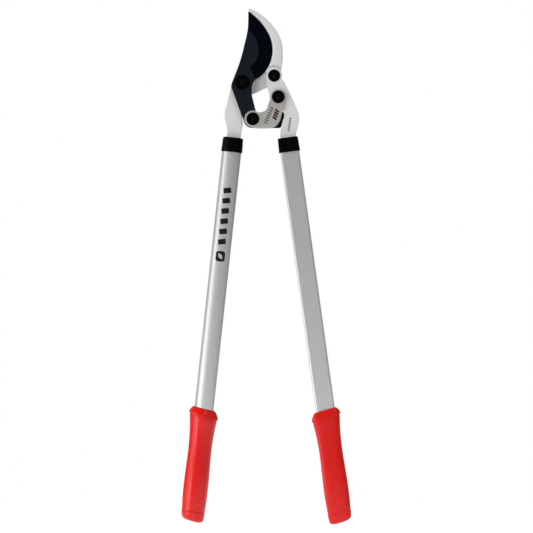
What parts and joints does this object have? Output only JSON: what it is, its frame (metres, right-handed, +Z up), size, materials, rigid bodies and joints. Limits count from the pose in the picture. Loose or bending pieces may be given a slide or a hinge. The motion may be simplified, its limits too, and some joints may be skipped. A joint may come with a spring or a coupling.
{
  "type": "bypass loppers",
  "caption": "Long-handled bypass loppers: black curved blade against a forged hook, driven through L-shaped links, with D-section aluminium handles and red grips.",
  "frame": {"origin": "middle of the lower edge of the hook's web, in the plane in which the blade slides on the hook, where a hanging peg bears", "axes": "+Z up towards the point of the jaws, +X towards the moving handle, -Y towards the side that shows the blade, +Y through the tool's thickness towards the nuts"},
  "size_m": [0.2673, 0.0343, 0.8116],
  "materials": {
    "painted_steel": "light silver enamel, satin",
    "coated_blade": "black non-stick coating, satin",
    "link_steel": "satin grey",
    "bumper_rubber": "matte black",
    "bolt_black": "gloss black",
    "zinc_steel": "zinc plated",
    "bush_bronze": "oiled bronze",
    "ferrule_black": "semi-gloss black nylon",
    "tube_aluminium": "satin anodised",
    "insert_nylon": "plain nylon",
    "grip_vinyl": "semi-gloss red vinyl"
  },
  "bodies": {
    "fixed_side": {"hook": "painted_steel", "left_ferrule": "ferrule_black", "left_tube": "tube_aluminium", "left_tang_insert": "insert_nylon", "left_tang_pin": "zinc_steel", "left_grip": "grip_vinyl", "blade_pivot_bolt": "bolt_black", "blade_pivot_cup_washer": "bolt_black", "blade_pivot_washer": "zinc_steel", "blade_pivot_nut": "zinc_steel", "handle_pivot_bolt": "bolt_black", "handle_pivot_washer": "zinc_steel", "handle_pivot_nut": "zinc_steel"},
    "right_handle": {"right_arm": "painted_steel", "arm_pivot_bush": "bush_bronze", "arm_drive_bush": "bush_bronze", "right_ferrule": "ferrule_black", "right_tube": "tube_aluminium", "right_tang_insert": "insert_nylon", "right_tang_pin": "zinc_steel", "right_grip": "grip_vinyl"},
    "blade_body": {"blade": "coated_blade", "blade_bush": "bush_bronze"},
    "link_pair": {"front_link": "link_steel", "rear_link": "link_steel", "link_bumper": "bumper_rubber", "link_tail_bolt": "bolt_black", "link_tail_sleeve": "zinc_steel", "link_tail_washer": "zinc_steel", "link_tail_nut": "zinc_steel", "link_drive_bolt": "bolt_black", "link_drive_washer": "zinc_steel", "link_drive_nut": "zinc_steel"}
  },
  "joints": [
    {"name": "handle_pivot", "type": "hinge", "parent": "fixed_side", "child": "right_handle", "pos_m": [0.023, 0, 0.024], "axis": [0, -1, 0], "range_deg": [0, 70]},
    {"name": "blade_pivot", "type": "hinge", "parent": "fixed_side", "child": "blade_body", "pos_m": [-0.027, 0, 0.0135], "axis": [0, -1, 0], "range_deg": [0, 40]},
    {"name": "link_drive", "type": "hinge", "parent": "right_handle", "child": "link_pair", "pos_m": [0.0295, 0, -0.0095], "axis": [0, -1, 0], "range_deg": [-65, 0]}
  ],
  "couplings": [
    {"joint": "blade_pivot", "follows": "handle_pivot", "ratio": 0.5632},
    {"joint": "link_drive", "follows": "handle_pivot", "ratio": -0.9158}
  ]
}
